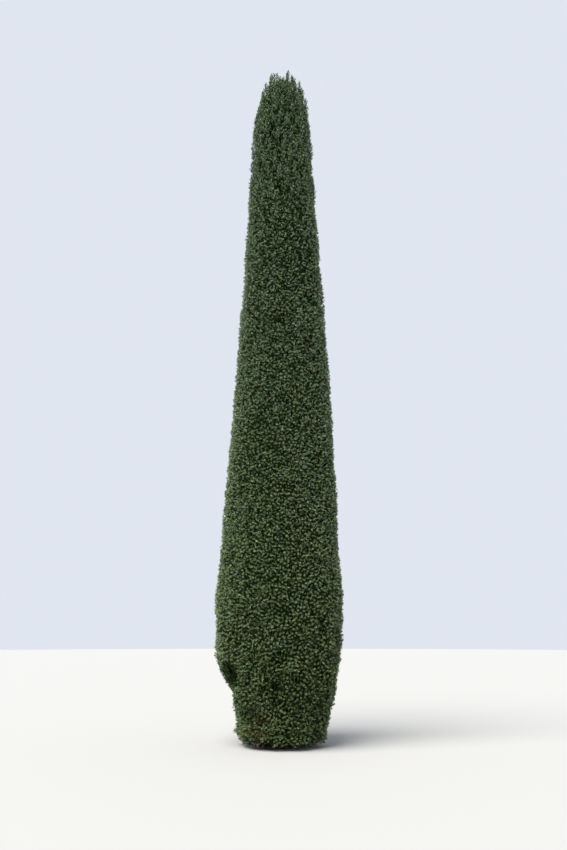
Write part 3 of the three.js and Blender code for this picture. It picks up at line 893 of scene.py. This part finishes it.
def needles_tree(materials):
    """Sets a spray on every seat, turned along its shoot, and gives it its shoot's colour."""
    weave, given = geometry_tree(
        "Needles on shoots",
        [("Needle", "NodeSocketObject", None), ("Seed", "NodeSocketInt", SEED)],
    )
    needle = weave.add("GeometryNodeObjectInfo", {"Object": given["Needle"]})["Geometry"]
    kinds = spray_kinds(weave, needle)
    upright = weave.add(
        "FunctionNodeAlignRotationToVector", {"Vector": weave.named("along", "FLOAT_VECTOR")}, axis="Z"
    )[0]
    roll = weave.any_between(0.0, 2 * math.pi, given["Seed"])
    euler = weave.add("ShaderNodeCombineXYZ", {"Z": roll})[0]
    rotation = weave.add(
        "FunctionNodeRotateRotation",
        {0: upright, 1: weave.add("FunctionNodeEulerToRotation", {0: euler})[0]},
        rotation_space="LOCAL",
    )[0]
    kind_seed = weave.maths("ADD", given["Seed"], KIND_SEED)
    kind = weave.any_between(0.0, SPRAY_KINDS - KIND_MARGIN, kind_seed)
    sprays = weave.add(
        "GeometryNodeInstanceOnPoints",
        {
            "Points": given["Geometry"],
            "Instance": kinds,
            "Pick Instance": True,
            "Instance Index": weave.maths("FLOOR", kind),
            "Rotation": rotation,
            "Scale": weave.named("size", "FLOAT"),
        },
    )[0]
    geometry = weave.add("GeometryNodeRealizeInstances", {"Geometry": sprays})[0]
    return finish_tree(weave, deal_materials(weave, geometry, materials))


def limbs_tree():
    """Round limbs along paths, as thick as each point's radius."""
    weave, given = geometry_tree(
        "Limbs along paths",
        [("Sides", "NodeSocketInt", None), ("Material", "NodeSocketMaterial", None)],
    )
    paths = weave.add("GeometryNodeMeshToCurve", {"Mesh": given["Geometry"]})[0]
    ring = weave.add("GeometryNodeCurvePrimitiveCircle", {"Resolution": given["Sides"], "Radius": 1.0})[0]
    radius = weave.named("radius", "FLOAT")
    limbs = weave.add(
        "GeometryNodeCurveToMesh",
        {"Curve": paths, "Profile Curve": ring, "Scale": radius, "Fill Caps": True},
    )[0]
    dressed = weave.add(
        "GeometryNodeSetMaterial", {"Geometry": limbs, "Material": given["Material"]}
    )[0]
    return finish_tree(weave, dressed)


def relief_tree():
    """Bark relief: long ridges and flakes that stand out along the normal."""
    weave, given = geometry_tree(
        "Bark relief",
        [
            ("Depth", "NodeSocketFloat", None),
            ("Flake Size", "NodeSocketFloat", None),
            ("Material", "NodeSocketMaterial", None),
        ],
    )
    place = weave.add("GeometryNodeInputPosition")[0]
    stretch = (1.0, 1.0, RELIEF_STRETCH)
    stretched = weave.add("ShaderNodeVectorMath", {0: place, 1: stretch}, operation="MULTIPLY")[0]
    scale = weave.maths("DIVIDE", 1.0, given["Flake Size"])
    ridges = weave.add(
        "ShaderNodeTexNoise", {"Vector": stretched, "Scale": scale, "Detail": RIDGE_DETAIL}
    )[0]
    flakes = weave.add("ShaderNodeTexVoronoi", {"Vector": stretched, "Scale": scale})["Distance"]
    rough = weave.maths("MULTIPLY_ADD", flakes, FLAKE_SHARE, ridges)
    height = weave.maths("SUBTRACT", rough, RELIEF_MIDDLE)
    lift = weave.maths("MULTIPLY", height, given["Depth"])
    normal = weave.add("GeometryNodeInputNormal")[0]
    offset = weave.add("ShaderNodeVectorMath", {0: normal, "Scale": lift}, operation="SCALE")[0]
    moved = weave.add("GeometryNodeSetPosition", {"Geometry": given["Geometry"], "Offset": offset})[0]
    dressed = weave.add(
        "GeometryNodeSetMaterial", {"Geometry": moved, "Material": given["Material"]}
    )[0]
    return finish_tree(weave, dressed)


def mesh_object(name, points, edges=(), faces=()):
    mesh = bpy.data.meshes.new(name)
    mesh.from_pydata(points, edges, faces)
    made = bpy.data.objects.new(name, mesh)
    bpy.context.scene.collection.objects.link(made)
    return made


def store(obj, name, kind, values):
    """Keeps one value for each point of a mesh under a name."""
    attribute = obj.data.attributes.new(name, kind, "POINT")
    flat = [x for value in values for x in value] if kind == "FLOAT_VECTOR" else values
    attribute.data.foreach_set("vector" if kind == "FLOAT_VECTOR" else "value", flat)


def grown(obj, tree, inputs):
    """Runs a geometry tree on an object and keeps the outcome as its plain mesh."""
    modifier = obj.modifiers.new(tree.name, "NODES")
    modifier.node_group = tree
    for socket in tree.interface.items_tree:
        if socket.in_out == "INPUT" and socket.name in inputs:
            modifier[socket.identifier] = inputs[socket.name]
    bpy.context.view_layer.update()
    evaluated = obj.evaluated_get(bpy.context.evaluated_depsgraph_get())
    mesh = bpy.data.meshes.new_from_object(evaluated)
    obj.modifiers.clear()
    obj.data = mesh
    for name in WORKING_VALUES:
        if name in mesh.attributes:
            mesh.attributes.remove(mesh.attributes[name])


def grown_limbs(name, growth, limbs, sides, bark):
    """A mesh of all limbs of a growth."""
    made = mesh_object(name, growth.points, growth.edges)
    store(made, "radius", "FLOAT", growth.radii)
    grown(made, limbs, {"Sides": sides, "Material": bark})
    return made


def linear(colour):
    """An sRGB colour, 0 to 255, as the linear colour that a shader takes."""
    shares = [c / 255 for c in colour]
    return tuple(c / 12.92 if c <= 0.04045 else ((c + 0.055) / 1.055) ** 2.4 for c in shares) + (1,)


def new_material(name):
    material = bpy.data.materials.new(name)
    material.use_nodes = True
    shader = material.node_tree.nodes["Principled BSDF"]
    return material, shader, Weave(material.node_tree)


def needle_material(name, colour, shine):
    material, shader, _ = new_material(f"Needles, {name}")
    shader.inputs["Base Color"].default_value = linear(colour)
    shader.inputs["Roughness"].default_value = NEEDLE_ROUGHNESS
    shader.inputs["Specular IOR Level"].default_value = shine
    return material


def needle_materials():
    """The needles' materials, in the order of the numbers that pick_tint gives."""
    made = []
    for name, colour, _, shine in GREENS:
        for kind, factors in KINDS:
            tinted = [c * factor for c, factor in zip(colour, factors)]
            made.append(needle_material(f"{kind} {name}", tinted, shine))
    for name, colour, _, shine in ODD_COLOURS:
        made.append(needle_material(name, colour, shine))
    return made


def flaking_group():
    """Bark in patches of three colours, drawn out upwards, and the height of its relief."""
    tree = bpy.data.node_groups.new("Flaking bark", "ShaderNodeTree")
    for colour in ("Low Colour", "Middle Colour", "High Colour"):
        tree.interface.new_socket(colour, in_out="INPUT", socket_type="NodeSocketColor")
    for size in ("Scale", "Stretch", "Detail"):
        tree.interface.new_socket(size, in_out="INPUT", socket_type="NodeSocketFloat")
    tree.interface.new_socket("Colour", in_out="OUTPUT", socket_type="NodeSocketColor")
    tree.interface.new_socket("Height", in_out="OUTPUT", socket_type="NodeSocketFloat")
    weave = Weave(tree)
    given = weave.add("NodeGroupInput")
    place = weave.add("ShaderNodeTexCoord")["Object"]
    stretch = weave.add("ShaderNodeCombineXYZ", {"X": 1.0, "Y": 1.0, "Z": given["Stretch"]})[0]
    along = weave.add("ShaderNodeVectorMath", {0: place, 1: stretch}, operation="MULTIPLY")[0]
    patches = weave.add(
        "ShaderNodeTexNoise", {"Vector": along, "Scale": given["Scale"], "Detail": given["Detail"]}
    )[0]
    low, middle, high = PATCH_EDGES
    lower = weave.add("ShaderNodeMapRange", {"Value": patches, "From Min": low, "From Max": middle})[0]
    upper = weave.add("ShaderNodeMapRange", {"Value": patches, "From Min": middle, "From Max": high})[0]
    colour = weave.mixed(lower, given["Low Colour"], given["Middle Colour"])
    colour = weave.mixed(upper, colour, given["High Colour"])
    weave.add("NodeGroupOutput", {"Colour": colour, "Height": patches})
    return tree


def bark_material(flaking, bark):
    """The material of one entry of BARKS."""
    material, shader, weave = new_material(bark["name"])
    low, middle, high = (linear(colour) for colour in bark["colours"])
    flakes = weave.add(
        "ShaderNodeGroup",
        {
            "Low Colour": low,
            "Middle Colour": middle,
            "High Colour": high,
            "Scale": bark["scale"],
            "Stretch": bark["stretch"],
            "Detail": bark["detail"],
        },
        node_tree=flaking,
    )
    weave.tree.links.new(flakes["Colour"], shader.inputs["Base Color"])
    shader.inputs["Roughness"].default_value = BARK_ROUGHNESS
    shader.inputs["Specular IOR Level"].default_value = bark["shine"]
    relief = weave.add(
        "ShaderNodeBump",
        {"Height": flakes["Height"], "Distance": bark["bump"], "Strength": BUMP_STRENGTH},
    )[0]
    weave.tree.links.new(relief, shader.inputs["Normal"])
    return material


def rings_object(name, rings):
    """A closed mesh through rings of points, each ring anticlockwise seen from above."""
    count = len(rings[0])
    points = [point for ring in rings for point in ring]
    faces = [tuple(range(count - 1, -1, -1))]
    for row in range(len(rings) - 1):
        for i in range(count):
            j = (i + 1) % count
            faces.append(
                (row * count + i, row * count + j, (row + 1) * count + j, (row + 1) * count + i)
            )
    faces.append(tuple(range((len(rings) - 1) * count, len(rings) * count)))
    return mesh_object(name, points, (), faces)


def make_trunk(relief, bark):
    rings = []
    for row in range(TRUNK_RINGS + 1):
        z = TRUNK_HEIGHT * (row / TRUNK_RINGS) ** TRUNK_RING_POWER
        rings.append([point_at(trunk_radius(z, turn), turn, z) for turn in even_turns(TRUNK_SIDES)])
    trunk = rings_object("bark_trunk", rings)
    grown(trunk, relief, {**TRUNK_RELIEF, "Material": bark})
    # The relief mustn't lift or sink the flat cut
    for vertex in trunk.data.vertices:
        if vertex.co.z < FLAT_CUT:
            vertex.co.z = 0.0
    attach(trunk, "root")
    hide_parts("trunk")


def make_boughs(column, limbs, relief, bark):
    growth = Growth()
    names = []
    for tier, facts in enumerate(TIERS):
        if facts.get("bough"):
            path = curve_path(bough_curve(column, tier), BOUGH_STEPS)
            growth.limb(path, (facts["bough"], BOUGH_TAPER * facts["bough"]))
            names.append(f"bough_{facts['name']}_{COLUMNS[column]}")
    boughs = grown_limbs(f"bark_boughs_{COLUMNS[column]}", growth, limbs, BOUGH_SIDES, bark)
    grown(boughs, relief, {**BOUGH_RELIEF, "Material": bark})
    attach(boughs, "root")
    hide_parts(*names)


def make_foliage(column, limbs, needles, needle, twig_bark):
    growth = grow_column(column)
    masses = [f"foliage_{tier['name']}_{COLUMNS[column]}" for tier in TIERS]
    twigs = grown_limbs(f"twigs_{COLUMNS[column]}", growth, limbs, TWIG_SIDES, twig_bark)
    seats = mesh_object(f"needles_{COLUMNS[column]}", growth.seats)
    store(seats, "along", "FLOAT_VECTOR", growth.along)
    store(seats, "size", "FLOAT", growth.sizes)
    store(seats, "tint", "INT", growth.tints)
    grown(seats, needles, {"Needle": needle, "Seed": SEED + column})
    for piece in (twigs, seats):
        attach(piece, "root")
        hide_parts(*masses)


def make_bare_twigs(limbs, bark):
    twigs = grown_limbs("dead_twigs", grow_bare_twigs(), limbs, BARE_SIDES, bark)
    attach(twigs, "root")
    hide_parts("foliage_foot_left", "foliage_foot_front_left")


def core_radius(turn, z):
    """The dark core's radius: the crown's, less its depth, with shallow dents."""
    dent = CORE_DENT
    for around, up in CORE_DENT_WAVES:
        dent *= math.sin(around * turn + up * z)
    depth = lerp(CORE_FOOT_DEPTH, CORE_DEPTH, clamp01((z - CORE_FOOT) / CORE_FOOT_RISE))
    return max(CORE_LEAST, surface_radius(turn, z) - depth + dent)


# The core is the dense inner twigs, and its near-black colour is painted shade inside the crown
def make_core(material):
    rings = []
    for row in range(CORE_RINGS + 1):
        z = lerp(CORE_FOOT, CORE_TOP, row / CORE_RINGS)
        rings.append([point_at(core_radius(turn, z), turn, z) for turn in even_turns(CORE_SIDES)])
    core = rings_object("inner_growth", rings)
    core.data.materials.append(material)
    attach(core, "root")
    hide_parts(*(f"foliage_{tier['name']}_{side}" for tier in TIERS for side in COLUMNS))


def make_needle():
    """One needle: a flat, narrow blade with a point, which leans in a little towards its shoot."""
    half = NEEDLE_WIDTH / 2
    lean = NEEDLE_LEAN * NEEDLE_LENGTH
    points = [
        (0, 0, 0),
        (half, lean / 2, NEEDLE_LENGTH / 2),
        (0, lean, NEEDLE_LENGTH),
        (-half, lean / 2, NEEDLE_LENGTH / 2),
    ]
    return mesh_object("needle", points, (), [(0, 1, 2), (0, 2, 3)])


def make_tree():
    flaking = flaking_group()
    bark = bark_material(flaking, BARKS["yew"])
    limbs = limbs_tree()
    relief = relief_tree()
    needles = needles_tree(needle_materials())
    needle = make_needle()
    make_trunk(relief, bark)
    twig_bark = bark_material(flaking, BARKS["twig"])
    for column in range(len(COLUMNS)):
        make_boughs(column, limbs, relief, bark)
        make_foliage(column, limbs, needles, needle, twig_bark)
    make_bare_twigs(limbs, bark_material(flaking, BARKS["dead"]))
    make_core(bark_material(flaking, BARKS["inner"]))
    bpy.data.objects.remove(needle)


def make_floor():
    turns = even_turns(FLOOR_SIDES)
    points = [(FLOOR_RADIUS * math.cos(t), FLOOR_RADIUS * math.sin(t), -FLOOR_DROP) for t in turns]
    floor = mesh_object("floor", points, (), [tuple(range(FLOOR_SIDES))])
    material, shader, _ = new_material("Pale floor")
    shader.inputs["Base Color"].default_value = FLOOR_COLOUR
    shader.inputs["Roughness"].default_value = FLOOR_ROUGHNESS
    floor.data.materials.append(material)


def make_light():
    world = bpy.data.worlds.new("Pale sky")
    world.use_nodes = True
    sky = world.node_tree.nodes["Background"]
    sky.inputs["Color"].default_value = SKY_COLOUR
    sky.inputs["Strength"].default_value = SKY_STRENGTH
    bpy.context.scene.world = world
    sun = bpy.data.lights.new("Soft sun", "SUN")
    sun.energy = SUN_STRENGTH
    sun.angle = SUN_WIDTH
    sun.color = SUN_COLOUR
    lamp = bpy.data.objects.new("Soft sun", sun)
    lamp.rotation_euler = SUN_TURN
    bpy.context.scene.collection.objects.link(lamp)


def make_camera():
    camera = bpy.data.objects.new("Camera", bpy.data.cameras.new("Camera"))
    camera.data.lens = CAMERA_LENS
    camera.data.clip_end = CAMERA_REACH
    camera.location = CAMERA_PLACE
    camera.rotation_euler = (math.pi / 2 + CAMERA_PITCH, 0, 0)
    bpy.context.scene.collection.objects.link(camera)
    bpy.context.scene.camera = camera
    bpy.context.scene.view_settings.view_transform = "Standard"


make_camera()
make_light()
make_floor()
make_tree()
